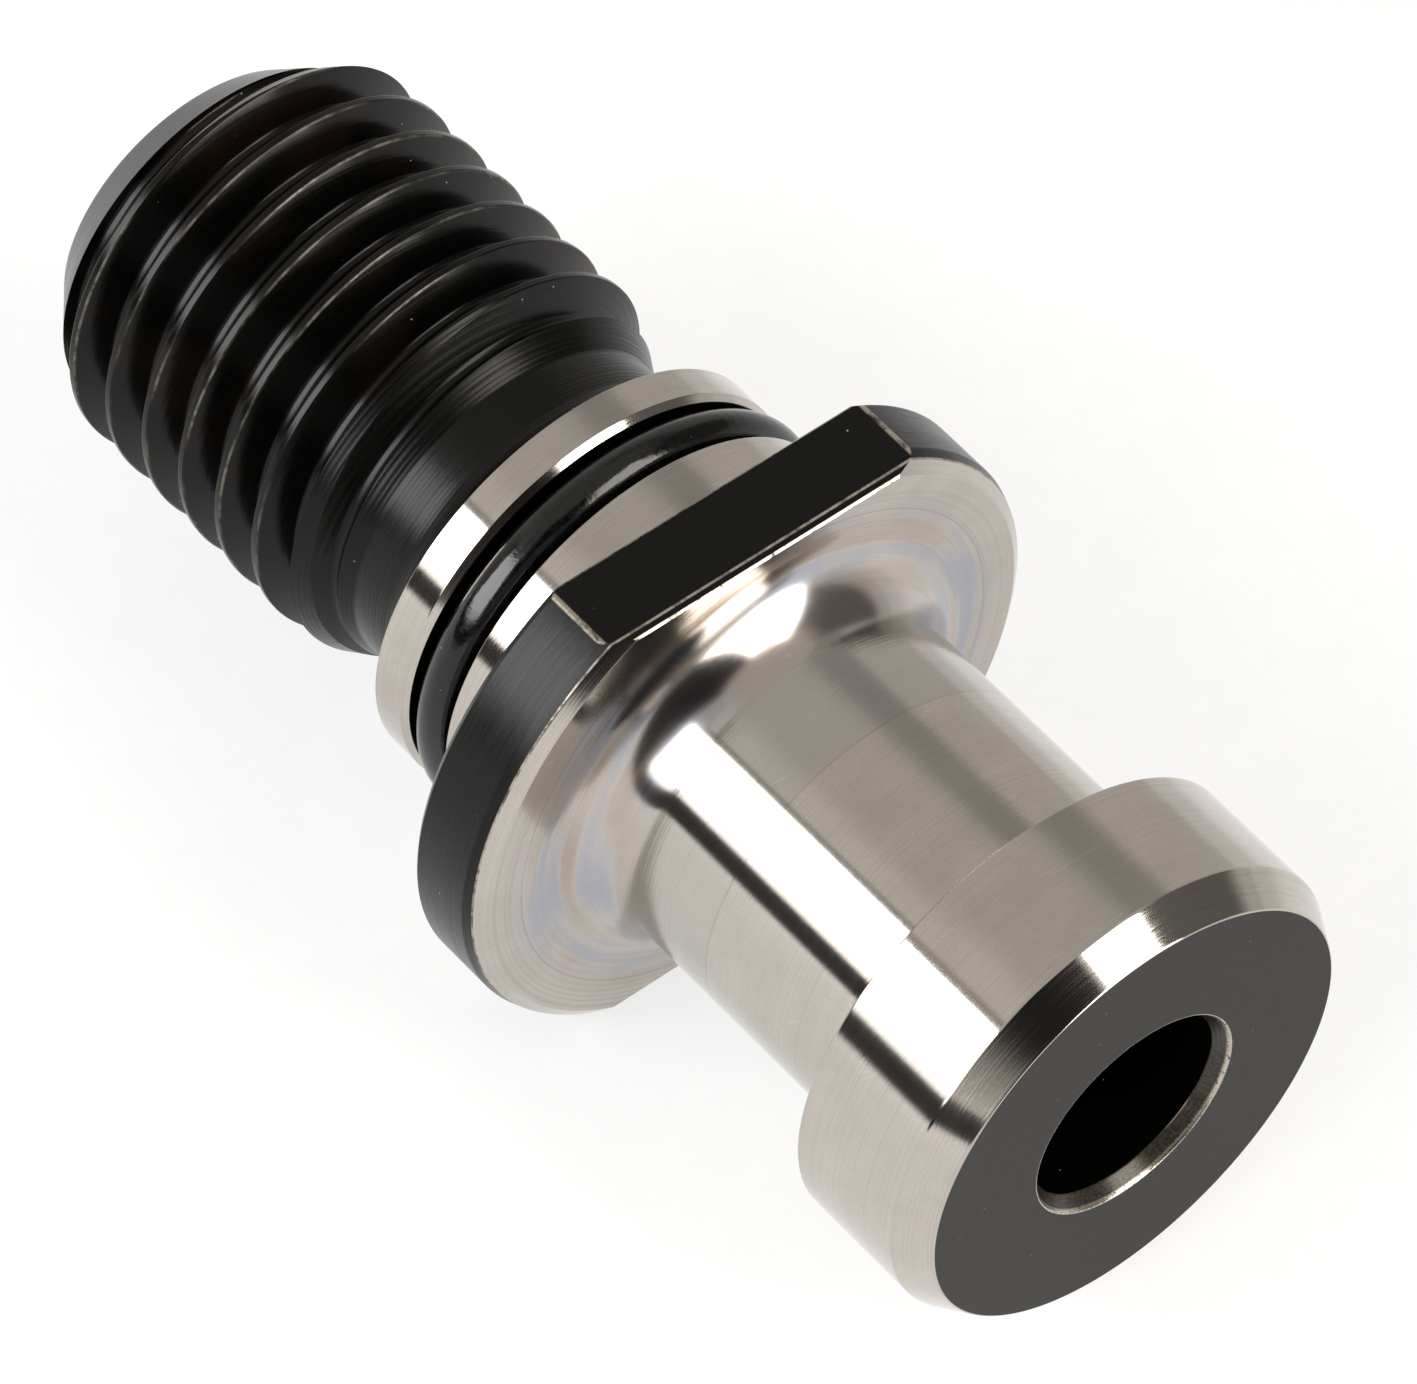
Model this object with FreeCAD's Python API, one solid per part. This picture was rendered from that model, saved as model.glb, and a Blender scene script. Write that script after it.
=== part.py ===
import FreeCAD, Part
import math, os

# Retention knob (pull stud) for a size 50 steep-taper tool holder.
# Millimetres.
#
# Each piece is turned on its own axis first: z runs along the axis from the
# head's end face towards the threaded end, y is the outward normal of the
# upper wrench flat. The finished pieces are then laid down in the part's frame.
# Part frame: the origin is on the axis, in the plane of the flange's seat face.
# +X points out of the head, -X out of the threaded end, +Z is up.

V = FreeCAD.Vector

# ---- lengths along the axis, from the head's end face ----
total_length = 74.0
head_length = 9.0
flange_front = 29.0
seat_plane = 34.0
groove_start = 38.2
groove_end = 41.4
pilot_end = 43.8
cone_start = 48.6
cone_end = 52.0
end_chamfer_start = 70.0

# ---- diameters, radii and angles ----
head_d = 28.0
head_face_d = 25.8
head_chamfer_length = 1.95
head_rear_edge = 0.25
head_shoulder_angle = 15.0
neck_root_r = 0.6
neck_d = 21.0
neck_fillet_r = 3.5
flange_d = 36.0
flange_front_land_d = 34.3
flats_width = 30.0
pilot_d = 25.0
groove_floor_d = 20.5
groove_bevel = 0.35
relief_d = 20.0
thread_end_d = 17.6
bore_d = 11.5
bore_mouth_d = 12.6
bore_mouth_depth = 0.85
edge_break = 0.1

# ---- thread: M24, coarse, right hand ----
thread_d = 24.0
thread_pitch = 3.0
thread_flank = 30.0
thread_crest_flat = 0.375
thread_root_r = 0.433
thread_phase = 54.27         # a crest meets the +x side here
groove_from = 48.2           # the threading tool enters over the relief
groove_to = 76.0             # and leaves past the end

# ---- O-ring ----
ring_section_d = 2.5
ring_centre_r = 11.5
ring_position = 39.75


def outline(items):
    """Closed wire in the xz half plane. Each item is a corner (s, r), or an
    arc (s_mid, r_mid, s_end, r_end)."""
    edges = []
    first = here = V(items[0][1], 0, items[0][0])
    for it in items[1:]:
        if len(it) == 2:
            there = V(it[1], 0, it[0])
            edges.append(Part.makeLine(here, there))
        else:
            there = V(it[3], 0, it[2])
            edges.append(Part.Arc(here, V(it[1], 0, it[0]), there).toShape())
        here = there
    edges.append(Part.makeLine(here, first))
    return Part.Wire(edges)


def turned(items):
    return Part.Face(outline(items)).revolve(V(0, 0, 0), V(0, 0, 1), 360)


def turned_blank():
    hr, nr, fr = head_d / 2, neck_d / 2, flange_d / 2
    pr, gr, rr, tr = pilot_d / 2, groove_floor_d / 2, relief_d / 2, thread_d / 2
    br, fe, b = bore_d / 2, head_face_d / 2, edge_break

    # fillet between the neck and the head's rear shoulder
    a = math.radians(head_shoulder_angle)
    q = neck_root_r
    s0, r0 = head_length, hr - 0.8 * head_rear_edge
    cr = nr + q
    cs = s0 + (r0 - cr) * math.tan(a) + q / math.cos(a)
    am = (math.pi / 2 + a) / 2
    root = [(cs - q * math.cos(a), cr - q * math.sin(a)),
            (cs - q * math.cos(am), cr - q * math.sin(am), cs, nr)]

    # fillet between the neck and the flange
    k = neck_fillet_r * math.sqrt(0.5)
    ns, nf = flange_front - neck_fillet_r, nr + neck_fillet_r
    neck = [(ns, nr), (ns + k, nf - k, flange_front, nf)]

    # quarter-round undercut behind the pilot
    rf = pr - rr
    us = pilot_end + rf
    u0 = us - math.sqrt(rf * rf - b * b)
    under = [(u0 - b, pr), (u0, pr - b),
             (us - rf * math.sqrt(0.5), pr - rf * math.sqrt(0.5), us, rr)]

    return turned(
        [(bore_mouth_depth, br), (b, bore_mouth_d / 2 - 0.05), (0, bore_mouth_d / 2 + 0.05),
         (0, fe - b), (b, fe + 0.05),
         (head_chamfer_length - 0.1, hr - 0.05), (head_chamfer_length + 0.15, hr),
         (head_length - head_rear_edge, hr), (s0, r0)]
        + root + neck +
        [(flange_front, flange_front_land_d / 2), (flange_front + 0.5, fr - 0.25),
         (flange_front + 1.2, fr), (seat_plane - 0.4, fr), (seat_plane, fr - 0.35),
         (seat_plane, pr), (groove_start - b, pr), (groove_start, pr - b),
         (groove_start, gr), (groove_end, gr), (groove_end, pr - 0.85 * groove_bevel),
         (groove_end + groove_bevel, pr)]
        + under +
        [(cone_start, rr), (cone_end, tr), (end_chamfer_start, tr),
         (total_length, thread_end_d / 2), (total_length, br + 0.4),
         (total_length - 0.4, br)])


def flats():
    """What the two wrench flats take off the flange, one block above, one below."""
    h = flats_width / 2
    lo = flange_front - 0.6
    depth = 4.0
    top = Part.makeBox(40, depth, seat_plane + 0.6 - lo, V(-20, h, lo))
    bottom = Part.makeBox(40, depth, seat_plane + 0.6 - lo, V(-20, -h - depth, lo))
    return top, bottom


def thread_groove():
    """The groove's V with its rounded root, run along the thread's helix."""
    t = math.tan(math.radians(thread_flank))
    tr = thread_d / 2
    half = (thread_pitch - thread_crest_flat) / 2
    apex = tr - half / t
    c = apex + thread_root_r / math.sin(math.radians(thread_flank))
    tangent_r = c - thread_root_r * math.sin(math.radians(thread_flank))
    tangent_w = thread_root_r * math.cos(math.radians(thread_flank))
    top_r = tr + 0.22
    top_w = half + (top_r - tr) * t

    # start the sweep so that the groove lies midway between crests
    turn = (groove_from - (thread_phase + thread_pitch / 2)) / thread_pitch
    angle = 360.0 * turn
    helix = Part.makeHelix(thread_pitch, groove_to - groove_from, tr)
    p = [V(top_r, 0, -top_w), V(tangent_r, 0, -tangent_w), V(c - thread_root_r, 0, 0),
         V(tangent_r, 0, tangent_w), V(top_r, 0, top_w)]
    section = Part.Wire([Part.makeLine(p[0], p[1]), Part.Arc(p[1], p[2], p[3]).toShape(),
                         Part.makeLine(p[3], p[4]), Part.makeLine(p[4], p[0])])
    pipe = Part.BRepOffsetAPI.MakePipeShell(Part.Wire(helix.Edges))
    pipe.setFrenetMode(True)
    pipe.add(section)
    pipe.build()
    pipe.makeSolid()
    tool = pipe.shape()
    tool.rotate(V(0, 0, 0), V(0, 0, 1), angle)
    tool.translate(V(0, 0, groove_from))
    return tool


def thread_envelope():
    """Room for everything ahead of the relief, and a threaded bar behind it."""
    step = (pilot_end + cone_start) / 2 + 0.4
    bar = Part.makeCylinder(thread_d / 2, total_length + 3 - 45, V(0, 0, 45))
    ahead = Part.makeCylinder(flange_d, step + 5, V(0, 0, -5))
    return ahead.fuse(bar.cut(thread_groove()))


def laid_down(shape):
    """From the turning axes into the part's frame: it lies level, on its lower flat."""
    s = shape.copy()
    m = FreeCAD.Matrix(0, 0, -1, seat_plane,
                       -1, 0, 0, 0,
                       0, 1, 0, 0,
                       0, 0, 0, 1)
    s.transformShape(m)
    return s


def main():
    os.makedirs("parts", exist_ok=True)

    stud = turned_blank()
    for f in flats():
        stud = stud.cut(f)
    stud = stud.common(thread_envelope())
    if stud.ShapeType != "Solid":
        stud = max(stud.Solids, key=lambda s: s.Volume)

    ring = Part.makeTorus(ring_centre_r, ring_section_d / 2)
    ring.translate(V(0, 0, ring_position))
    ring = ring.cut(Part.makeCylinder(groove_floor_d / 2, 6, V(0, 0, ring_position - 3)))

    for name, shape in (("stud_body", stud), ("o_ring", ring)):
        s = laid_down(shape)
        if s.ShapeType != "Solid" and len(s.Solids) == 1:
            s = s.Solids[0]
        s.exportStep("parts/%s.step" % name)
        c = s.CenterOfMass
        print("%s valid=%s volume=%.2f com=(%.3f, %.3f, %.3f) faces=%d" % (
            name, s.isValid(), s.Volume, c.x, c.y, c.z, len(s.Faces)))


main()
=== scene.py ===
import bpy, bmesh, math
import numpy as np
from mathutils import Matrix, Vector


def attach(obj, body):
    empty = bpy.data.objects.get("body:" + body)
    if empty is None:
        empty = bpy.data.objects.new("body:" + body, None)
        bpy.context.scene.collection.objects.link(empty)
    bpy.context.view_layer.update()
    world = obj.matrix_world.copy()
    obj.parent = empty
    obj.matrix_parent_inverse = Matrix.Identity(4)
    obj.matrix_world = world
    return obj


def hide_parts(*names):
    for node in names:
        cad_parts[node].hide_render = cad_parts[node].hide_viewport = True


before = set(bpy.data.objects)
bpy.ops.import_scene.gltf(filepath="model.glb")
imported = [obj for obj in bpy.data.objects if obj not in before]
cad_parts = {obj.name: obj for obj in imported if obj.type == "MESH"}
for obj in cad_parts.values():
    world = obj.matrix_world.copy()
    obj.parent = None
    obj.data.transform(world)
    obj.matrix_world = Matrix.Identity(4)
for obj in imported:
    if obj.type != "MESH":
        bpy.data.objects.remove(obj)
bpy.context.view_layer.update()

# ---------------------------------------------------------------------------
# Turning axes: s runs along the stud from the head's end face to the threaded
# end, x and y lie across it and y is the outward normal of the upper flat.
# Row frame: X = 34 - s, Y = -x, Z = y, in metres.
# ---------------------------------------------------------------------------
MM = 0.001
SEAT, LENGTH = 34.0, 74.0
COLUMNS = 240
FLAT = 15.0
PITCH, CREST_R, CREST_AT = 3.0, 12.0, 54.27
HEAD_R, NECK_R, FLANGE_R, PILOT_R, RELIEF_R, BORE_R = 14.0, 10.5, 18.0, 12.5, 10.0, 5.75


def to_row(P):
    """Turning axes, mm, to the row frame, m."""
    P = np.asarray(P, float)
    return np.stack([SEAT - P[..., 2], -P[..., 0], P[..., 1]], -1) * MM


def rounded(corners, step=14.0):
    """Closed profile from corners (s, r, radius). Returns the points and the
    outward normal at each, exact on the lines and on the rounded corners."""
    n = len(corners)
    pts, nor = [], []
    for i in range(n):
        s, r, rad = corners[i]
        p = np.array([s, r], float)
        a = np.array(corners[i - 1][:2], float)
        b = np.array(corners[(i + 1) % n][:2], float)
        u, v = (p - a) / np.linalg.norm(p - a), (b - p) / np.linalg.norm(b - p)
        nu, nv = np.array([-u[1], u[0]]), np.array([-v[1], v[0]])
        turn = math.atan2(u[0] * v[1] - u[1] * v[0], float(u @ v))
        t = rad * math.tan(abs(turn) / 2)
        start = p - u * t
        side = 1.0 if turn > 0 else -1.0
        centre = start + nu * rad * side
        k = max(2, int(math.ceil(abs(math.degrees(turn)) / step)))
        for j in range(k + 1):
            f = turn * j / k
            c, q = math.cos(f), math.sin(f)
            rot = np.array([[c, -q], [q, c]])
            pts.append(centre + rot @ (start - centre))
            nor.append(rot @ nu)
    return np.array(pts), np.array(nor)


def fill_long(pts, nor, longest):
    """Extra points on runs longer than this, so that quads stay well shaped."""
    P, N = [], []
    n = len(pts)
    for i in range(n):
        a, b, na, nb = pts[i], pts[(i + 1) % n], nor[i], nor[(i + 1) % n]
        k = max(1, int(np.linalg.norm(b - a) / longest))
        for j in range(k):
            f = j / k
            P.append(a + (b - a) * f)
            N.append(na + (nb - na) * f)
    return np.array(P), np.array(N)


# ---- the blank's profile: (s, r, corner radius) ----
SH = math.tan(math.radians(15.0))
BLANK_R = 12.4               # over the thread, so that the thread's own surface is what is left
CONE = (CREST_R - RELIEF_R) / 3.4
corners = [
    (0.85, BORE_R, 0.25), (0.0, 6.30, 0.10),
    (0.0, 12.90, 0.16), (1.95, HEAD_R, 0.35),
    (9.0, HEAD_R, 0.12), (9.0 + (HEAD_R - NECK_R) * SH, NECK_R, 0.6),
    (29.0, NECK_R, 3.4), (29.0, 17.12, 0.10), (29.5, 17.78, 0.20),
    (30.1, FLANGE_R, 0.45), (33.62, FLANGE_R, 0.15), (34.0, 17.65, 0.10),
    (34.0, PILOT_R, 0.06), (38.2, PILOT_R, 0.07), (38.2, 10.25, 0.15),
    (41.4, 10.25, 0.15), (41.4, 12.2, 0.06), (41.78, PILOT_R, 0.08),
    (43.8, PILOT_R, 0.05), (43.8, RELIEF_R, 2.42),
    (48.6, RELIEF_R, 0.5), (48.6 + (BLANK_R - RELIEF_R) / CONE, BLANK_R, 0.05),
    (69.5, BLANK_R, 0.05), (LENGTH, 8.8, 0.12), (LENGTH, 6.15, 0.1), (LENGTH - 0.4, BORE_R, 0.05),
]
prof_p, prof_n = rounded(corners)
lathe_p, lathe_n = fill_long(prof_p, prof_n, 1.6)

# ---- the thread's profile over one pitch, w measured from a crest's middle ----
FL = math.radians(30.0)
ROOT_RHO, CREST_RHO, CREST_FLAT = 0.433, 0.12, 0.375
half_crest = CREST_FLAT / 2
apex = CREST_R - (PITCH / 2 - half_crest) / math.tan(FL)
thread_corners = [(-half_crest, CREST_R, CREST_RHO), (half_crest, CREST_R, CREST_RHO), (PITCH / 2, apex, ROOT_RHO),
                  (PITCH - half_crest, CREST_R, CREST_RHO), (PITCH + half_crest, CREST_R, CREST_RHO)]


def corner_arc(a, p, b, rad, step):
    """Points and outward normals of one rounded corner of an open profile."""
    a, p, b = np.array(a[:2], float), np.array(p[:2], float), np.array(b[:2], float)
    u, v = (p - a) / np.linalg.norm(p - a), (b - p) / np.linalg.norm(b - p)
    nu = np.array([-u[1], u[0]])
    turn = math.atan2(u[0] * v[1] - u[1] * v[0], float(u @ v))
    start = p - u * rad * math.tan(abs(turn) / 2)
    centre = start + nu * rad * (1.0 if turn > 0 else -1.0)
    m = max(2, int(math.ceil(abs(math.degrees(turn)) / step)))
    pts, nor = [], []
    for j in range(m + 1):
        f = turn * j / m
        rot = np.array([[math.cos(f), -math.sin(f)], [math.sin(f), math.cos(f)]])
        pts.append(centre + rot @ (start - centre))
        nor.append(rot @ nu)
    return pts, nor


tp, tn = [], []
for i in (1, 2, 3):
    q, w = corner_arc(thread_corners[i - 1], thread_corners[i], thread_corners[i + 1], thread_corners[i][2], 17.0)
    tp += q
    tn += w
    if i < 3:
        # a middle row on each flank
        nxt, _ = corner_arc(thread_corners[i], thread_corners[i + 1], thread_corners[i + 2], thread_corners[i + 1][2], 17.0)
        tp.append((q[-1] + nxt[0]) / 2)
        tn.append(w[-1])
# one pitch of rows, the first just behind a crest's middle, w measured from there
thr_p, thr_n = np.array(tp), np.array(tn)
THR_ROWS = len(thr_p)


# ---------------------------------------------------------------------------
# Meshes
# ---------------------------------------------------------------------------
def mesh_object(name, verts, faces):
    me = bpy.data.meshes.new(name)
    me.from_pydata([tuple(v) for v in verts], [], faces)
    me.validate()
    ob = bpy.data.objects.new(name, me)
    bpy.context.scene.collection.objects.link(ob)
    bm = bmesh.new(); bm.from_mesh(me)
    bmesh.ops.recalc_face_normals(bm, faces=bm.faces)
    bm.to_mesh(me); bm.free()
    return ob


def lathe_object(name, prof, columns):
    n = len(prof)
    ang = np.arange(columns) * 2 * math.pi / columns
    V = np.stack([np.outer(prof[:, 1], np.cos(ang)), np.outer(prof[:, 1], np.sin(ang)),
                  np.repeat(prof[:, :1], columns, 1)], -1).reshape(-1, 3)
    F = []
    for i in range(n):
        a, b = i * columns, ((i + 1) % n) * columns
        for j in range(columns):
            k = (j + 1) % columns
            F.append((a + j, a + k, b + k, b + j))
    return mesh_object(name, V * MM, F)


def threaded_bar(name, columns):
    """A bar whose skin is the thread, wide open ahead of the relief. Its rows
    climb one pitch a turn, so row i at the seam meets row i + one pitch."""
    m = THR_ROWS
    w_start = CREST_AT - 3 * PITCH
    pitches = int(math.ceil((LENGTH + 1.0 - w_start) / PITCH)) + 1
    last = (pitches - 1) * m
    V, F = [], []
    for i in range(last + m + 1):
        q, k = divmod(i, m)
        w, r = w_start + q * PITCH + thr_p[k, 0], thr_p[k, 1]
        for j in range(columns):
            f = 2 * math.pi * j / columns
            V.append((r * math.cos(f), r * math.sin(f), w + PITCH * j / columns))

    def at(i, j):
        return i * columns + j if j < columns else (i + m) * columns
    for i in range(last):
        for j in range(columns):
            F.append((at(i, j), at(i, j + 1), at(i + 1, j + 1), at(i + 1, j)))
    # far end: the last row and the seam's step, closed to a point on the axis
    rim = [at(last, j) for j in range(columns)] + [at(last + m - k, 0) for k in range(m)]
    V.append((0, 0, w_start + (pitches - 0.5) * PITCH))
    for a, b in zip(rim, rim[1:] + rim[:1]):
        F.append((a, b, len(V) - 1))
    # near end: the first row is joined to a ring far outside, then closed
    ring = []
    for s in (44.8, -6.0):
        ring.append(len(V))
        for j in range(columns):
            f = 2 * math.pi * j / columns
            V.append((30 * math.cos(f), 30 * math.sin(f), s))
    for j in range(columns):
        k = (j + 1) % columns
        F.append((ring[0] + j, ring[0] + k, ring[1] + k, ring[1] + j))
        F.append((at(0, j), at(0, j + 1) if j < columns - 1 else at(m, 0), ring[0] + k, ring[0] + j))
    for k in range(m):
        F.append((at(k, 0), ring[0], at(k + 1, 0)))
    V.append((0, 0, -6.0))
    for j in range(columns):
        F.append((ring[1] + j, ring[1] + (j + 1) % columns, len(V) - 1))
    used = sorted({i for f in F for i in f})
    remap = {v: i for i, v in enumerate(used)}
    return mesh_object(name, np.array([V[i] for i in used]) * MM, [tuple(remap[i] for i in f) for f in F])


def cutter(name, sign):
    """Takes one flat off the flange, with a fine broken edge front and back."""
    poly = [(28.3, 14.84), (28.94, 14.84), (29.0, 14.9), (29.1, FLAT), (33.9, FLAT), (34.0, 14.9), (34.06, 14.84),
            (34.7, 14.84), (34.7, 21.0), (28.3, 21.0)]
    V = [(x, sign * y, s) for x in (-22.0, 22.0) for s, y in poly]
    n = len(poly)
    F = [tuple(range(n)), tuple(range(2 * n - 1, n - 1, -1))]
    F += [(i, (i + 1) % n, n + (i + 1) % n, n + i) for i in range(n)]
    return mesh_object(name, np.array(V) * MM, F)


def boolean(target, other, operation):
    mod = target.modifiers.new("cut", "BOOLEAN")
    mod.operation = operation
    mod.object = other
    mod.solver = "EXACT"
    dg = bpy.context.evaluated_depsgraph_get()
    me = bpy.data.meshes.new_from_object(target.evaluated_get(dg))
    target.modifiers.clear()
    old = target.data
    target.data = me
    bpy.data.meshes.remove(old)
    bpy.data.objects.remove(other)


stud = lathe_object("stud_body_skin", lathe_p, COLUMNS)
boolean(stud, threaded_bar("bar", COLUMNS), "INTERSECT")
boolean(stud, cutter("cut_a", 1), "DIFFERENCE")
boolean(stud, cutter("cut_b", -1), "DIFFERENCE")


def nearest_on_lathe(s, r):
    """Distance to the profile and the profile's normal there, for many points."""
    a = lathe_p; b = np.roll(lathe_p, -1, 0); na = lathe_n; nb = np.roll(lathe_n, -1, 0)
    d = b - a
    L2 = (d * d).sum(1)
    best = np.full(len(s), 1e9); N = np.zeros((len(s), 2))
    P = np.stack([s, r], -1)
    for i in range(len(a)):
        if L2[i] < 1e-12:
            continue
        f = np.clip(((P - a[i]) @ d[i]) / L2[i], 0, 1)
        q = a[i] + f[:, None] * d[i]
        dist = np.linalg.norm(P - q, axis=1)
        k = dist < best - 1e-9
        best[k] = dist[k]
        N[k] = (na[i] + (nb[i] - na[i]) * f[:, None])[k]
    return best, N / np.maximum(np.linalg.norm(N, axis=1), 1e-9)[:, None]


def nearest_on_thread(s, r, phi):
    """The same for the thread: distance in the axial plane and the 3-D normal
    as (radial, round, axial)."""
    w = s - CREST_AT - PITCH * phi / (2 * math.pi)
    w = np.mod(w, PITCH)
    base = np.concatenate([thr_p - [PITCH, 0], thr_p, thr_p + [PITCH, 0]])
    nrm = np.concatenate([thr_n, thr_n, thr_n])
    a, b, na, nb = base[:-1], base[1:], nrm[:-1], nrm[1:]
    best = np.full(len(s), 1e9); N = np.zeros((len(s), 2))
    P = np.stack([w, r], -1)
    for i in range(len(a)):
        d = b[i] - a[i]
        f = np.clip(((P - a[i]) @ d) / (d @ d), 0, 1)
        q = a[i] + f[:, None] * d
        dist = np.linalg.norm(P - q, axis=1)
        k = dist < best - 1e-9
        best[k] = dist[k]
        N[k] = (na[i] + (nb[i] - na[i]) * f[:, None])[k]
    ns, nr = N[:, 0], N[:, 1]
    lead = -ns * PITCH / (2 * math.pi * np.maximum(r, 1.0))
    M = np.stack([nr, lead, ns], -1)
    return best, M / np.linalg.norm(M, axis=1)[:, None]


def exact_normals(ob):
    """Each face is told which true surface it lies on, and its corners take
    that surface's normal."""
    me = ob.data
    nv, npoly, nl = len(me.vertices), len(me.polygons), len(me.loops)
    co = np.zeros(nv * 3, np.float32); me.vertices.foreach_get("co", co)
    T = co.reshape(-1, 3).astype(float) / MM      # still in turning axes
    x, y, s = T[:, 0], T[:, 1], T[:, 2]
    r = np.hypot(x, y); phi = np.mod(np.arctan2(y, x), 2 * math.pi)
    cen = np.zeros(npoly * 3, np.float32); me.polygons.foreach_get("center", cen)
    cen = cen.reshape(-1, 3) / MM
    pn = np.zeros(npoly * 3, np.float32); me.polygons.foreach_get("normal", pn)
    pn = pn.reshape(-1, 3)
    start = np.zeros(npoly, np.int32); me.polygons.foreach_get("loop_start", start)
    total = np.zeros(npoly, np.int32); me.polygons.foreach_get("loop_total", total)
    lv = np.zeros(nl, np.int32); me.loops.foreach_get("vertex_index", lv)
    face_of = np.repeat(np.arange(npoly), total)
    cs, cr = cen[:, 2], np.hypot(cen[:, 0], cen[:, 1])
    cphi = np.mod(np.arctan2(cen[:, 1], cen[:, 0]), 2 * math.pi)
    e_r = np.stack([np.cos(cphi), np.sin(cphi), np.zeros(npoly)], -1)
    e_p = np.stack([-np.sin(cphi), np.cos(cphi), np.zeros(npoly)], -1)
    dl, nlathe = nearest_on_lathe(cs, cr)
    dt, nthr = nearest_on_thread(cs, cr, cphi)
    n3l = e_r * nlathe[:, 1:2] + np.array([0, 0, 1.0]) * nlathe[:, 0:1]
    n3t = e_r * nthr[:, 0:1] + e_p * nthr[:, 1:2] + np.array([0, 0, 1.0]) * nthr[:, 2:3]
    cost_l = dl + 0.15 * (1 - (n3l * pn).sum(1))
    cost_t = dt + 0.15 * (1 - (n3t * pn).sum(1))
    in_thread = (cs > 48.0) & (cr > 8.0)
    is_thread = in_thread & (cost_t < cost_l)
    is_flat = (np.abs(np.abs(pn[:, 1]) - 1) < 1e-3) & (np.abs(np.abs(cen[:, 1]) - FLAT) < 0.02) & (cs > 28.9) & (cs < 34.1)
    is_break = (cs > 28.9) & (cs < 34.1) & (np.abs(np.abs(cen[:, 1]) - 14.95) < 0.06) & (np.abs(pn[:, 0]) < 1e-3) & (np.abs(pn[:, 1]) > 0.3) & ~is_flat
    kind = np.zeros(npoly, int)
    kind[is_thread] = 1
    kind[is_flat] = 2
    kind[is_break] = 3
    vl_phi = phi
    _, vl = nearest_on_lathe(s, r)
    _, vt = nearest_on_thread(s, r, phi)
    er = np.stack([np.cos(vl_phi), np.sin(vl_phi), np.zeros(nv)], -1)
    ep = np.stack([-np.sin(vl_phi), np.cos(vl_phi), np.zeros(nv)], -1)
    NL = er * vl[:, 1:2] + np.array([0, 0, 1.0]) * vl[:, 0:1]
    NT = er * vt[:, 0:1] + ep * vt[:, 1:2] + np.array([0, 0, 1.0]) * vt[:, 2:3]
    out = np.where((kind[face_of] == 1)[:, None], NT[lv], NL[lv])
    flat_like = kind[face_of] >= 2
    out[flat_like] = pn[face_of][flat_like]
    # where the analytic normal disagrees with the face, trust the face
    bad = (out * pn[face_of]).sum(1) < 0.6
    out[bad] = pn[face_of][bad]
    return out, kind, cen


normals, kind, centres = exact_normals(stud)

# into the row frame
R3 = np.array([[0, 0, -1], [-1, 0, 0], [0, 1, 0]], float)
me = stud.data
co = np.zeros(len(me.vertices) * 3, np.float32); me.vertices.foreach_get("co", co)
co = co.reshape(-1, 3) @ R3.T + np.array([SEAT * MM, 0, 0])
me.vertices.foreach_set("co", co.astype(np.float32).ravel())
me.polygons.foreach_set("use_smooth", np.ones(len(me.polygons), bool))
me.update()
me.normals_split_custom_set([tuple(n) for n in normals @ R3.T])
me.update()

# ---- O-ring ----
RING_C, RING_R, RING_S = 11.5, 1.25, 39.75


def ring_object(name, columns=240):
    """Round section with the fine flash line the mould leaves, on the outside
    towards the thread and opposite it. It sits on the groove's floor."""
    sec = []
    extra = [(-3.2, 0.0), (-1.3, 0.035), (1.3, 0.035), (3.2, 0.0)]
    angles = sorted([i * 6.0 for i in range(60)] + [58.0 + d for d, _ in extra] + [238.0 + d for d, _ in extra])
    lift = {}
    for base in (58.0, 238.0):
        for d, h in extra:
            lift[base + d] = h
    for a in angles:
        h = lift.get(a)
        if h is None:
            # drop the plain samples that fall inside a flash line
            if min(abs(a - 58.0), abs(a - 238.0)) < 3.3:
                continue
            h = 0.0
        rad = RING_R + h
        t = math.radians(a)
        sec.append((RING_S + rad * math.sin(t), max(RING_C + rad * math.cos(t), 10.25)))
    n = len(sec)
    V, F = [], []
    for s, r in sec:
        for j in range(columns):
            f = 2 * math.pi * j / columns
            V.append((r * math.cos(f), r * math.sin(f), s))
    for i in range(n):
        a, b = i * columns, ((i + 1) % n) * columns
        for j in range(columns):
            k = (j + 1) % columns
            F.append((a + j, a + k, b + k, b + j))
    ob = mesh_object(name, to_row(V), F)
    ob.data.polygons.foreach_set("use_smooth", np.ones(len(ob.data.polygons), bool))
    return ob


ring = ring_object("o_ring_rubber")


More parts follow.
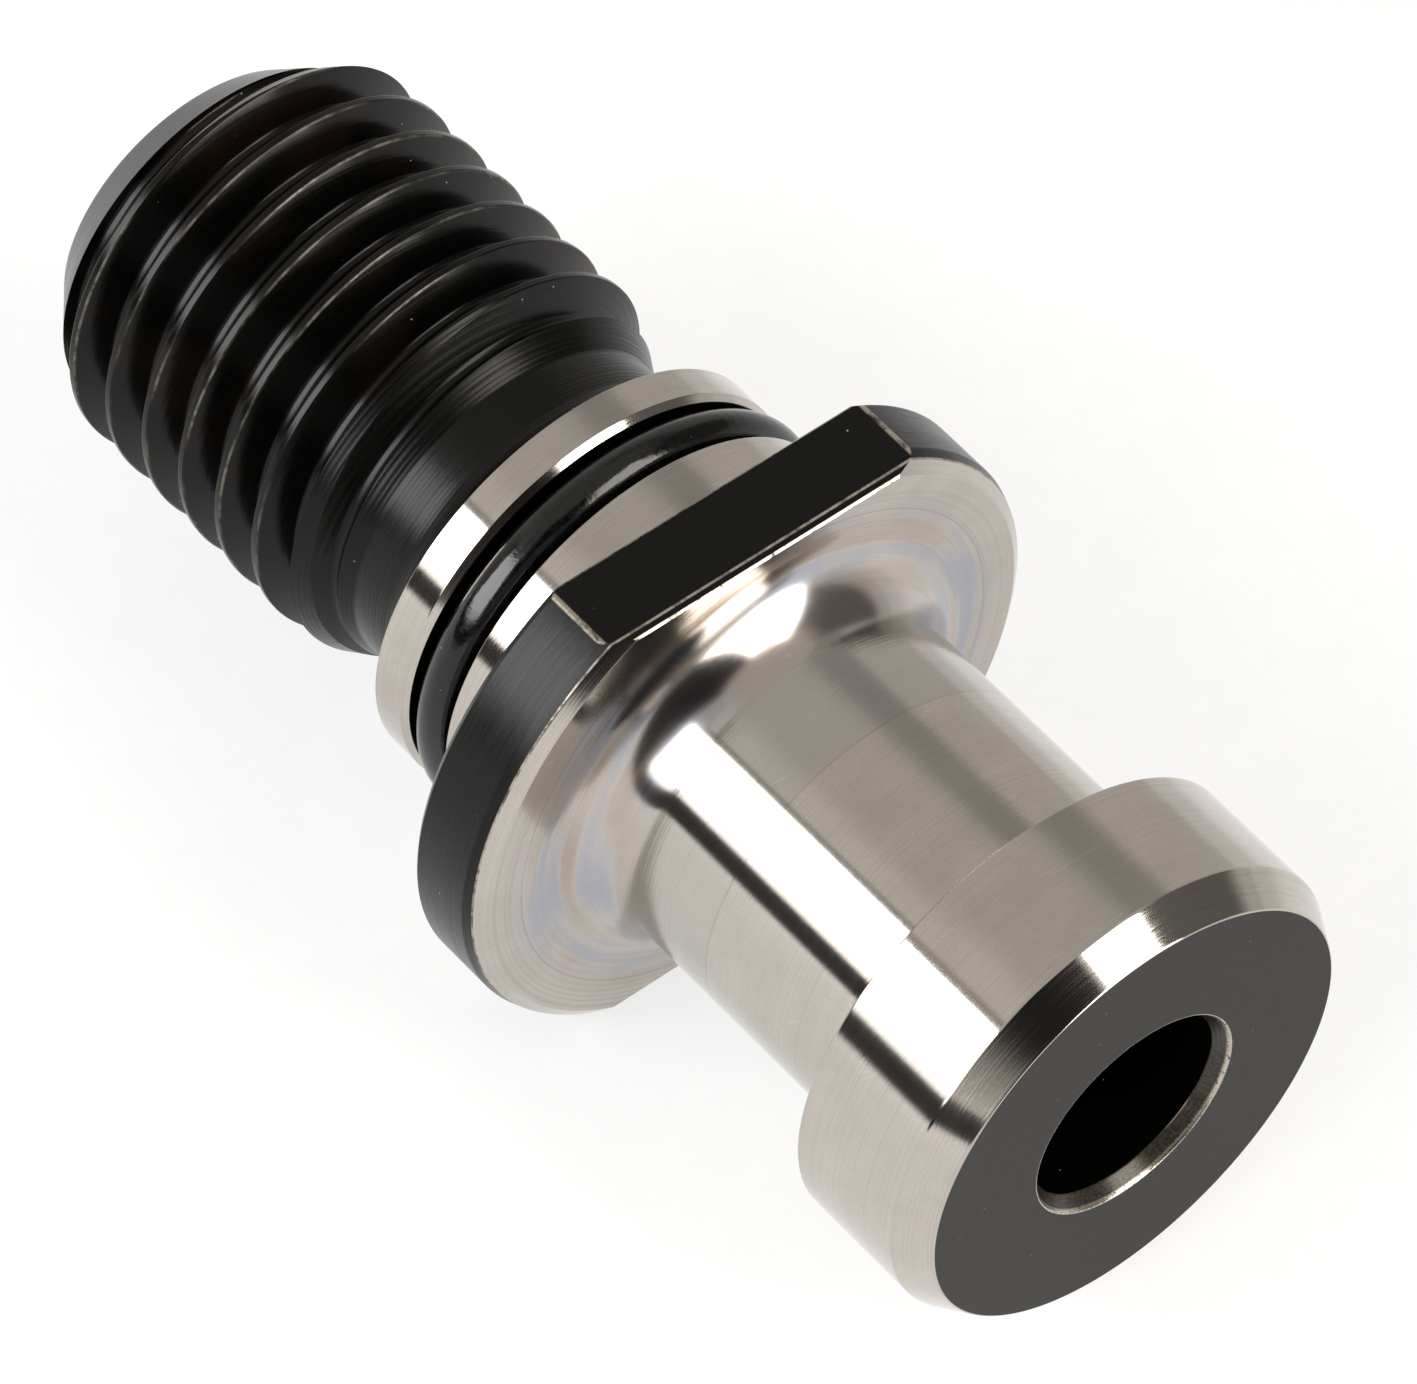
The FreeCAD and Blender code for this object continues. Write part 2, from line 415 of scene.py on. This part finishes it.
# ---------------------------------------------------------------------------
# Materials
# ---------------------------------------------------------------------------
class Nodes:
    """A small shorthand for node trees."""

    def __init__(self, tree):
        self.t = tree
        tree.nodes.clear()
        self.x = 0

    def new(self, kind, **props):
        n = self.t.nodes.new(kind)
        self.x += 40
        n.location = (self.x, -self.x % 700)
        for k, v in props.items():
            setattr(n, k, v)
        return n

    def link(self, a, b):
        self.t.links.new(a, b)

    def put(self, socket, value):
        if isinstance(value, bpy.types.NodeSocket):
            self.link(value, socket)
        else:
            socket.default_value = value

    def math(self, op, a, b=0.0, c=0.0, clamp=False):
        n = self.new("ShaderNodeMath", operation=op, use_clamp=clamp)
        self.put(n.inputs[0], a)
        self.put(n.inputs[1], b)
        if op in ("MULTIPLY_ADD", "SMOOTH_MIN", "SMOOTH_MAX", "WRAP", "COMPARE"):
            self.put(n.inputs[2], c)
        return n.outputs[0]

    def step(self, v, a, b, lo=0.0, hi=1.0, smooth=True):
        n = self.new("ShaderNodeMapRange", interpolation_type="SMOOTHSTEP" if smooth else "LINEAR", clamp=True)
        self.put(n.inputs["Value"], v)
        n.inputs["From Min"].default_value = a
        n.inputs["From Max"].default_value = b
        n.inputs["To Min"].default_value = lo
        n.inputs["To Max"].default_value = hi
        return n.outputs["Result"]

    def window(self, v, a0, a1, b0, b1):
        return self.math("MULTIPLY", self.step(v, a0, a1), self.step(v, b0, b1, 1.0, 0.0))

    def mix(self, fac, a, b, blend="MIX"):
        n = self.new("ShaderNodeMix", data_type="RGBA", blend_type=blend)
        self.put(n.inputs["Factor"], fac)
        col = [s for s in n.inputs if s.type == "RGBA"]
        for s, v in zip(col, (a, b)):
            self.put(s, tuple(v) + (1.0,) if isinstance(v, (tuple, list)) and len(v) == 3 else v)
        return [s for s in n.outputs if s.type == "RGBA"][0]

    def fmix(self, fac, a, b):
        n = self.new("ShaderNodeMix", data_type="FLOAT")
        self.put(n.inputs["Factor"], fac)
        fl = [s for s in n.inputs if s.type == "VALUE"]
        self.put(fl[1], a)
        self.put(fl[2], b)
        return [s for s in n.outputs if s.type == "VALUE"][0]

    def combine(self, x, y, z):
        n = self.new("ShaderNodeCombineXYZ")
        for s, v in zip(n.inputs, (x, y, z)):
            self.put(s, v)
        return n.outputs[0]

    def noise(self, vec, scale, detail=2.0, rough=0.5, dist=0.0, dim="3D"):
        n = self.new("ShaderNodeTexNoise", noise_dimensions=dim)
        self.put(n.inputs["Vector"], vec)
        n.inputs["Scale"].default_value = scale
        n.inputs["Detail"].default_value = detail
        n.inputs["Roughness"].default_value = rough
        n.inputs["Distortion"].default_value = dist
        return n.outputs["Fac"]

    def cylinder(self):
        """s along the axis, r off it, both mm; y across the flats; the round
        direction as a unit vector's two parts; object position in mm."""
        tc = self.new("ShaderNodeTexCoord")
        mm = self.new("ShaderNodeVectorMath", operation="SCALE")
        self.link(tc.outputs["Object"], mm.inputs[0])
        mm.inputs["Scale"].default_value = 1000.0
        sep = self.new("ShaderNodeSeparateXYZ")
        self.link(mm.outputs[0], sep.inputs[0])
        X, Y, Z = sep.outputs
        s = self.math("SUBTRACT", SEAT, X)
        r = self.math("SQRT", self.math("ADD", self.math("MULTIPLY", Y, Y), self.math("MULTIPLY", Z, Z)))
        inv = self.math("DIVIDE", 1.0, self.math("MAXIMUM", r, 0.001))
        return dict(s=s, r=r, X=X, Y=Y, Z=Z, uy=self.math("MULTIPLY", Y, inv), uz=self.math("MULTIPLY", Z, inv), P=mm.outputs[0])


def shader(n, **values):
    p = n.new("ShaderNodeBsdfPrincipled")
    for k, v in values.items():
        n.put(p.inputs[k.replace("_", " ")], v)
    out = n.new("ShaderNodeOutputMaterial")
    n.link(p.outputs[0], out.inputs["Surface"])
    return p


def bump(n, height, strength, distance, normal=None):
    b = n.new("ShaderNodeBump")
    n.put(b.inputs["Height"], height)
    b.inputs["Strength"].default_value = strength
    b.inputs["Distance"].default_value = distance
    if normal is not None:
        n.link(normal, b.inputs["Normal"])
    return b.outputs[0]


def round_tangent(n):
    t = n.new("ShaderNodeTangent", direction_type="RADIAL", axis="X")
    return t.outputs[0]


def lines(n, c, per_mm, stretch=0.05, detail=2.0, rough=0.5):
    """Noise drawn out round the axis: the marks a lathe or grinder leaves."""
    v = n.combine(n.math("MULTIPLY", c["s"], per_mm), n.math("MULTIPLY", c["Y"], stretch), n.math("MULTIPLY", c["Z"], stretch))
    return n.noise(v, 1.0, detail, rough)


def face_lines(n, c, per_mm, stretch=0.05, detail=2.0, rough=0.5):
    """The same on a faced surface, where the marks are circles."""
    v = n.combine(n.math("MULTIPLY", c["r"], per_mm), n.math("MULTIPLY", c["uy"], stretch * 10), n.math("MULTIPLY", c["uz"], stretch * 10))
    return n.noise(v, 1.0, detail, rough)


def specks(n, c, per_mm, size, share):
    """Sparse dust: small round dots, 1 on a dot and 0 off it."""
    v = n.new("ShaderNodeTexVoronoi", feature="F1")
    n.link(c["P"], v.inputs["Vector"])
    v.inputs["Scale"].default_value = per_mm
    sep = n.new("ShaderNodeSeparateColor")
    n.link(v.outputs["Color"], sep.inputs[0])
    dot = n.step(v.outputs["Distance"], size * 0.6, size, 1.0, 0.0)
    return n.math("MULTIPLY", dot, n.step(sep.outputs[0], 1.0 - share - 0.01, 1.0 - share))


def ground_steel():
    m = bpy.data.materials.new("ground_steel")
    m.use_nodes = True
    n = Nodes(m.node_tree)
    c = n.cylinder()
    s, r = c["s"], c["r"]
    fine = lines(n, c, 11.0, 0.012, 3.0, 0.65)
    faced = face_lines(n, c, 7.0, 0.05, 2.0, 0.5)
    on_face = n.window(s, 28.0, 29.0, 29.05, 29.3)
    mark = n.fmix(on_face, fine, faced)
    mottle = n.noise(c["P"], 0.35, 3.0, 0.55)
    grain = n.noise(c["P"], 6.0, 3.0, 0.6)
    base = n.mix(n.step(mottle, 0.3, 0.7), (0.480, 0.442, 0.400), (0.520, 0.480, 0.437))
    base = n.mix(n.step(grain, 0.45, 0.75, 0.0, 0.25), base, (0.39, 0.36, 0.33))
    base = n.mix(n.step(mark, 0.40, 0.75, 0.0, 0.45), base, (0.36, 0.33, 0.30))
    # the neck was ground in two passes: a faint line and a shade darker beyond it
    beyond = n.window(s, 20.15, 20.25, 26.5, 28.5)
    base = n.mix(n.math("MULTIPLY", beyond, 0.5), base, (0.43, 0.41, 0.385))
    line = n.window(s, 20.10, 20.16, 20.20, 20.27)
    base = n.mix(n.math("MULTIPLY", line, 0.35), base, (0.30, 0.27, 0.25))
    # heat tints in the fillet and round its foot on the flange
    foot = n.math("MULTIPLY", n.step(s, 25.2, 27.6), n.math("MULTIPLY", n.step(s, 29.2, 29.4, 1.0, 0.0), n.step(r, 14.0, 16.6, 1.0, 0.0)))
    tint = n.noise(c["P"], 0.22, 2.0, 0.5)
    bands = face_lines(n, c, 0.9, 0.12, 1.0, 0.4)
    cool = n.math("MULTIPLY", foot, n.step(bands, 0.42, 0.62))
    warm = n.math("MULTIPLY", foot, n.step(bands, 0.50, 0.36, 0.0, 1.0))
    base = n.mix(n.math("MULTIPLY", cool, n.step(tint, 0.3, 0.6, 0.25, 0.7)), base, (0.34, 0.36, 0.435))
    base = n.mix(n.math("MULTIPLY", warm, n.step(tint, 0.4, 0.7, 0.35, 0.8)), base, (0.40, 0.325, 0.285))
    # a scribed circle on the flange's front
    circle = n.math("MULTIPLY", n.window(r, 15.02, 15.07, 15.10, 15.15), n.window(s, 28.9, 28.97, 29.03, 29.1))
    base = n.mix(n.math("MULTIPLY", circle, 0.4), base, (0.25, 0.22, 0.20))
    # stray scratches on the head
    sc = n.combine(n.math("MULTIPLY", n.math("ADD", s, n.math("MULTIPLY", c["Z"], 0.8)), 5.0), n.math("MULTIPLY", c["Y"], 0.15), n.math("MULTIPLY", c["Z"], 0.25))
    scratch = n.step(n.noise(sc, 1.0, 1.0, 0.4), 0.705, 0.74)
    scratch = n.math("MULTIPLY", scratch, n.step(n.noise(c["P"], 0.25, 1.0), 0.5, 0.6))
    base = n.mix(n.math("MULTIPLY", scratch, 0.22), base, (0.62, 0.59, 0.55))
    dust = specks(n, c, 0.9, 0.055, 0.30)
    base = n.mix(n.math("MULTIPLY", dust, 0.5), base, (0.75, 0.73, 0.70))
    rough = n.fmix(n.step(mark, 0.3, 0.7), 0.085, 0.13)
    rough = n.math("ADD", rough, n.math("MULTIPLY", on_face, 0.03))
    rough = n.math("ADD", rough, n.math("MULTIPLY", n.window(s, 25.3, 26.8, 28.8, 29.0), 0.06))
    height = n.math("ADD", mark, n.math("MULTIPLY", line, -0.4))
    height = n.math("ADD", height, n.math("MULTIPLY", circle, -0.6))
    nrm = bump(n, height, 0.20, 0.00002)
    p = shader(n, Base_Color=base, Metallic=1.0, Roughness=rough, Normal=nrm)
    p.inputs["Anisotropic"].default_value = 0.7
    p.inputs["Anisotropic Rotation"].default_value = 0.25
    n.link(round_tangent(n), p.inputs["Tangent"])
    return m


def black_oxide():
    """Black oxide over turned steel, rubbed to metal on its sharp edges."""
    m = bpy.data.materials.new("black_oxide")
    m.use_nodes = True
    n = Nodes(m.node_tree)
    c = n.cylinder()
    s, r = c["s"], c["r"]
    tool = lines(n, c, 4.4, 0.03, 1.0, 0.5)
    fine = lines(n, c, 11.0, 0.05, 2.0, 0.6)
    grain = n.noise(c["P"], 8.0, 3.0, 0.6)
    cloud = n.noise(c["P"], 0.16, 1.0, 0.5)
    turned = n.math("MAXIMUM", n.window(s, 29.4, 29.7, 33.8, 34.0), n.window(s, 44.0, 45.0, 51.5, 54.0))
    # the flats were milled, so their marks run along x instead
    flat = n.math("MULTIPLY", n.step(n.math("ABSOLUTE", c["Z"]), 15.02, 15.004), n.window(s, 29.0, 29.1, 33.9, 34.0))
    base = n.mix(n.step(grain, 0.35, 0.7), (0.0003, 0.0004, 0.0003), (0.0018, 0.0016, 0.0013))
    brown = n.math("MULTIPLY", n.step(cloud, 0.48, 0.66), n.step(s, 50.0, 56.0))
    base = n.mix(n.math("MULTIPLY", brown, 0.35), base, (0.010, 0.0055, 0.003))
    # where a crest's front edge has rubbed through
    turn = n.math("DIVIDE", n.math("ARCTAN2", c["Z"], n.math("MULTIPLY", c["Y"], -1.0)), 2 * math.pi)
    w = n.math("SUBTRACT", n.math("SUBTRACT", s, CREST_AT), n.math("MULTIPLY", turn, PITCH))
    w = n.math("WRAP", w, PITCH / 2, -PITCH / 2)
    broken = lines(n, c, 0.4, 1.1, 4.0, 0.7)
    long_worn = n.noise(c["P"], 0.18, 1.0, 0.5)
    crest = n.math("MULTIPLY", n.window(w, -0.27, -0.22, -0.17, -0.13), n.window(s, 52.5, 53.0, 70.5, 71.5))
    crest = n.math("MULTIPLY", crest, n.math("MULTIPLY", n.step(broken, 0.36, 0.66, 0.2, 1.0), n.step(long_worn, 0.40, 0.62)))
    # the flange's front rim and the flats' edges
    rim = n.math("MULTIPLY", n.window(s, 29.42, 29.47, 29.55, 29.62), n.step(broken, 0.38, 0.64, 0.2, 1.0))
    edge_z = n.window(n.math("ABSOLUTE", c["Z"]), 14.86, 14.90, 15.3, 15.4)
    front = n.math("MULTIPLY", n.window(s, 28.8, 28.9, 29.09, 29.15), edge_z)
    behind = n.math("MULTIPLY", n.window(s, 33.84, 33.92, 34.3, 34.4), n.math("MULTIPLY", edge_z, 0.35))
    corner_r = n.math("MULTIPLY", n.window(r, 17.86, 17.94, 18.2, 18.3), n.math("MULTIPLY", n.window(n.math("ABSOLUTE", c["Z"]), 14.9, 14.95, 15.04, 15.10), 0.5))
    flat_edges = n.math("MAXIMUM", front, n.math("MAXIMUM", behind, corner_r))
    flat_edges = n.math("MULTIPLY", flat_edges, n.step(n.noise(c["P"], 1.1, 4.0, 0.65), 0.34, 0.52, 0.1, 1.0))
    worn = n.math("MAXIMUM", n.math("MULTIPLY", crest, 0.28), n.math("MAXIMUM", n.math("MULTIPLY", rim, 0.7), flat_edges), clamp=True)
    base = n.mix(worn, base, (0.46, 0.41, 0.34))
    dust = specks(n, c, 0.75, 0.045, 0.45)
    base = n.mix(n.math("MULTIPLY", dust, 0.6), base, (0.34, 0.32, 0.29))
    rough = n.fmix(n.step(fine, 0.3, 0.7), 0.15, 0.22)
    rough = n.math("ADD", rough, n.math("MULTIPLY", flat, 0.10))
    rough = n.math("ADD", rough, n.math("MULTIPLY", n.window(s, 43.9, 44.2, 51.5, 53.0), 0.09))
    milled = n.noise(n.combine(n.math("MULTIPLY", s, 5.0), n.math("MULTIPLY", c["Y"], 0.6), 0.0), 1.0, 3.0, 0.6)
    # the tool's feed leaves an even, shallow wave
    feed = n.math("SINE", n.math("ADD", n.math("MULTIPLY", s, 2 * math.pi / 0.25), n.math("MULTIPLY", tool, 3.0)))
    wave = n.math("MULTIPLY", n.math("MULTIPLY", feed, 0.17), turned)
    round_marks = n.math("ADD", n.math("MULTIPLY", fine, 0.35), n.math("ADD", wave, n.math("MULTIPLY", tool, n.math("MULTIPLY", turned, 1.0))))
    height = n.fmix(flat, round_marks, milled)
    height = n.math("ADD", height, n.math("MULTIPLY", grain, 0.15))
    nrm = bump(n, height, 0.5, 0.00003)
    p = shader(n, Base_Color=base, Metallic=n.math("MULTIPLY", worn, 0.9), Roughness=rough, Normal=nrm)
    p.inputs["IOR"].default_value = 1.29
    return m


def face_oxide():
    """The satin black of the head's end face."""
    m = bpy.data.materials.new("face_oxide")
    m.use_nodes = True
    n = Nodes(m.node_tree)
    c = n.cylinder()
    grain = n.noise(c["P"], 12.0, 3.0, 0.7)
    rings = face_lines(n, c, 6.0, 0.04, 2.0, 0.5)
    base = n.mix(n.step(grain, 0.35, 0.7), (0.0056, 0.0046, 0.0038), (0.0088, 0.0074, 0.0062))
    dust = specks(n, c, 0.7, 0.04, 0.35)
    base = n.mix(n.math("MULTIPLY", dust, 0.5), base, (0.30, 0.27, 0.23))
    nrm = bump(n, n.math("ADD", n.math("MULTIPLY", grain, 0.5), rings), 0.25, 0.00003)
    p = shader(n, Base_Color=base, Metallic=0.0, Roughness=0.36, Normal=nrm)
    p.inputs["IOR"].default_value = 1.26
    return m


def end_chamfer():
    """The smooth grey cone that leads the thread in."""
    m = bpy.data.materials.new("end_chamfer")
    m.use_nodes = True
    n = Nodes(m.node_tree)
    c = n.cylinder()
    fine = lines(n, c, 8.0, 0.05, 2.0, 0.6)
    grain = n.noise(c["P"], 5.0, 3.0, 0.6)
    base = n.mix(n.step(grain, 0.35, 0.7), (0.016, 0.016, 0.017), (0.028, 0.028, 0.029))
    nrm = bump(n, fine, 0.3, 0.00003)
    p = shader(n, Base_Color=base, Metallic=0.15, Roughness=n.fmix(n.step(fine, 0.3, 0.7), 0.26, 0.34), Normal=nrm)
    p.inputs["IOR"].default_value = 1.5
    return m


def bore_mouth():
    """The bore's countersink: thin brown-black oxide, bright on its lip."""
    m = bpy.data.materials.new("bore_mouth")
    m.use_nodes = True
    n = Nodes(m.node_tree)
    c = n.cylinder()
    fine = lines(n, c, 14.0, 0.05, 2.0, 0.6)
    grain = n.noise(c["P"], 6.0, 3.0, 0.6)
    base = n.mix(n.step(grain, 0.35, 0.7), (0.020, 0.016, 0.012), (0.045, 0.036, 0.026))
    lip = n.math("MULTIPLY", n.step(c["r"], 6.14, 6.24), n.step(grain, 0.30, 0.50))
    base = n.mix(lip, base, (0.48, 0.44, 0.37))
    nrm = bump(n, fine, 0.4, 0.00003)
    p = shader(n, Base_Color=base, Metallic=n.fmix(lip, 0.35, 1.0), Roughness=0.22, Normal=nrm)
    p.inputs["IOR"].default_value = 1.45
    return m


def rubber():
    m = bpy.data.materials.new("nitrile_rubber")
    m.use_nodes = True
    n = Nodes(m.node_tree)
    c = n.cylinder()
    grain = n.noise(c["P"], 3.0, 4.0, 0.6)
    base = n.mix(n.step(grain, 0.4, 0.7), (0.0012, 0.0012, 0.0012), (0.0032, 0.0032, 0.0030))
    dust = specks(n, c, 1.0, 0.05, 0.35)
    base = n.mix(n.math("MULTIPLY", dust, 0.7), base, (0.28, 0.27, 0.25))
    rough = n.fmix(n.step(grain, 0.35, 0.65), 0.10, 0.17)
    nrm = bump(n, n.noise(c["P"], 1.6, 3.0, 0.6), 0.25, 0.00005)
    p = shader(n, Base_Color=base, Metallic=0.0, Roughness=rough, Normal=nrm)
    p.inputs["IOR"].default_value = 1.45
    return m


steel, oxide, face_mat, chamfer_mat, mouth_mat, rub = ground_steel(), black_oxide(), face_oxide(), end_chamfer(), bore_mouth(), rubber()
stud.data.materials.clear()
for m in (steel, oxide, face_mat, chamfer_mat, mouth_mat):
    stud.data.materials.append(m)

cs, cr = centres[:, 2], np.hypot(centres[:, 0], centres[:, 1])
idx = np.zeros(len(cs), int)
idx[(cs > 29.5) & (cr > 14.0) & (cs < 34.001)] = 1      # flange rim, flats and seat face
idx[(cs > 33.97) & (cs < 34.03) & (cr > 12.6) & (cr < 17.6)] = 0   # the seat is ground with the pilot
idx[kind >= 2] = 1
idx[(cs > 38.15) & (cs < 41.45) & (cr < 12.45)] = 1     # groove
idx[cs > 43.85] = 1
idx[(cs > 69.6) & (kind == 0)] = 3                      # lead-in cone and end
idx[(cs < 0.14) & (cr > 6.38) & (cr < 12.85)] = 2       # head's end face
idx[(cs < 0.86) & (cr < 6.40)] = 4
idx[(cs > LENGTH - 0.45) & (cr < 6.2)] = 4
idx[(cr < 5.78) & (cs > 0.86) & (cs < LENGTH - 0.45)] = 1
stud.data.polygons.foreach_set("material_index", idx.astype(np.int32))
ring.data.materials.append(rub)

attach(stud, "root")
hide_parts("stud_body")
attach(ring, "root")
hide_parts("o_ring")

# ---------------------------------------------------------------------------
# Floor, light, camera
# ---------------------------------------------------------------------------
floor = mesh_object("floor", [(-3, -3, -FLAT * MM), (3, -3, -FLAT * MM), (3, 3, -FLAT * MM), (-3, 3, -FLAT * MM)], [(0, 1, 2, 3)])
fm = bpy.data.materials.new("floor")
fm.use_nodes = True
n = Nodes(fm.node_tree)
c = n.cylinder()
# Painted shade: on the far side, away from the camera, the floor's colour and its glow are turned darker.
away = n.math("SUBTRACT", n.math("MULTIPLY", c["Y"], 0.89), n.math("MULTIPLY", c["X"], 0.456))
dim = n.step(away, 45.0, 120.0)
grain = n.noise(c["P"], 0.5, 3.0, 0.6)
pale = n.mix(n.step(grain, 0.3, 0.7), (0.225, 0.225, 0.225), (0.235, 0.235, 0.235))
p = shader(n, Base_Color=n.mix(dim, pale, (0.19, 0.19, 0.19)), Roughness=0.9)
p.inputs["Specular IOR Level"].default_value = 0.0
n.link(n.mix(dim, (1.0, 1.0, 1.0), (0.76, 0.76, 0.76)), p.inputs["Emission Color"])
p.inputs["Emission Strength"].default_value = 0.70
floor.data.materials.append(fm)


PANEL = 8.0


def softbox(name, x0, x1, y, z0, z1, radiance):
    """A soft panel standing upright at y, facing the object."""
    li = bpy.data.lights.new(name, "AREA")
    li.shape = "RECTANGLE"
    li.size, li.size_y = x1 - x0, z1 - z0
    li.energy = radiance * math.pi * (x1 - x0) * (z1 - z0)
    ob = bpy.data.objects.new(name, li)
    ob.location = ((x0 + x1) / 2, y, (z0 + z1) / 2)
    ob.rotation_mode = "QUATERNION"
    ob.rotation_quaternion = Vector((0, y, 0)).to_track_quat("Z", "Y")
    bpy.context.scene.collection.objects.link(ob)
    return ob


softbox("soft_left", -0.74, 0.41, -0.80, 0.235, 0.875, PANEL)
softbox("soft_left_foot", -0.74, 0.41, -0.80, 0.170, 0.235, 1.6)

world = bpy.data.worlds.new("studio")
bpy.context.scene.world = world
world.use_nodes = True
n = Nodes(world.node_tree)
tc = n.new("ShaderNodeTexCoord")
sep = n.new("ShaderNodeSeparateXYZ")
n.link(tc.outputs["Generated"], sep.inputs[0])
az = n.math("MULTIPLY", n.math("ARCTAN2", sep.outputs[1], sep.outputs[0]), 180 / math.pi)
el = n.math("MULTIPLY", n.math("ARCSINE", sep.outputs[2]), 180 / math.pi)
level = n.step(el, -5.0, 70.0, 0.66, 0.64)
# behind the camera it is dark
dark = n.math("MULTIPLY", n.window(az, -61.0, -45.0, 1.0, 5.0), n.window(el, -20.0, -12.0, 58.0, 68.0))
level = n.fmix(dark, level, 0.02)
# under the left panel, a dark gap
# (its edges run along the stud, so it is measured round the stud's axis)
beta = n.math("MULTIPLY", n.math("ARCTAN2", sep.outputs[2], n.math("MULTIPLY", sep.outputs[1], -1.0)), 180 / math.pi)
gap = n.math("MULTIPLY", n.window(az, -150.0, -140.0, -60.0, -50.0), n.window(beta, -3.0, -1.0, 12.0, 13.0))
level = n.fmix(gap, level, 0.04)
# right of the right panel it is dim, then the far side again
side = n.math("MULTIPLY", n.window(az, 30.0, 40.0, 100.0, 114.0), n.window(el, 4.0, 14.0, 44.0, 62.0))
level = n.fmix(side, level, 0.17)
back = n.math("MULTIPLY", n.window(az, 96.0, 112.0, 150.0, 165.0), n.window(el, 31.0, 39.0, 48.0, 58.0))
level = n.fmix(n.math("MULTIPLY", back, 0.9), level, 0.36)
# a thin dark rail over the left panel and a paler strip above it
wall = n.math("MULTIPLY", n.step(sep.outputs[0], 0.0, -0.2), n.window(beta, 51.0, 53.0, 58.0, 76.0))
level = n.fmix(wall, level, 0.80)
rail = n.math("MULTIPLY", n.step(sep.outputs[0], 0.1, -0.1), n.window(beta, 46.0, 46.5, 51.0, 52.5))
level = n.fmix(rail, level, 0.40)
# the right panel leans in at the top
left_edge = n.math("SUBTRACT", az, n.math("MULTIPLY_ADD", el, 0.11, 1.3))
right_edge = n.math("SUBTRACT", az, n.math("MULTIPLY_ADD", el, 0.31, 33.0))
panel = n.math("MULTIPLY", n.math("MULTIPLY", n.step(left_edge, -0.7, 0.7), n.step(right_edge, -0.7, 0.7, 1.0, 0.0)),
               n.window(el, -6.0, -4.0, 58.0, 61.0))
level = n.fmix(panel, level, PANEL)
lp = n.new("ShaderNodeLightPath")
# seen directly, the backdrop meets the floor in a soft sweep
sweep = n.step(el, -1.0, 13.0, 0.83, 1.0)
seen = n.fmix(lp.outputs["Is Camera Ray"], level, sweep)
tint = n.mix(lp.outputs["Is Camera Ray"], (1.0, 0.965, 0.92), (1.0, 1.0, 1.0))
bg = n.new("ShaderNodeBackground")
n.link(tint, bg.inputs["Color"])
n.link(seen, bg.inputs["Strength"])
out = n.new("ShaderNodeOutputWorld")
n.link(bg.outputs[0], out.inputs["Surface"])

scene = bpy.context.scene
scene.view_settings.view_transform = "Standard"
scene.view_settings.look = "None"

W, H, F_PX, CX, CY = 1417.0, 1384.0, 11595.16, 705.534, 693.456
cam_data = bpy.data.cameras.new("camera")
cam = bpy.data.objects.new("camera", cam_data)
scene.collection.objects.link(cam)
cam_data.sensor_fit = "HORIZONTAL"
cam_data.sensor_width = 36.0
cam_data.lens = F_PX * 36.0 / W
cam_data.shift_x = (W / 2 - CX) / W
cam_data.shift_y = (CY - H / 2) / W
cam_data.clip_start, cam_data.clip_end = 0.02, 20.0
right = Vector((0.6392016646, 0.7677569225, 0.0443907644))
up = Vector((-0.6202199989, 0.4805197743, 0.6200224992))
bk = Vector((0.4546959258, -0.4238514534, 0.7833272372))
m = Matrix((right, up, bk)).transposed().to_4x4()
m.translation = Vector((0.2658935341, -0.2468106208, 0.4565080766))
cam.matrix_world = m
scene.camera = cam
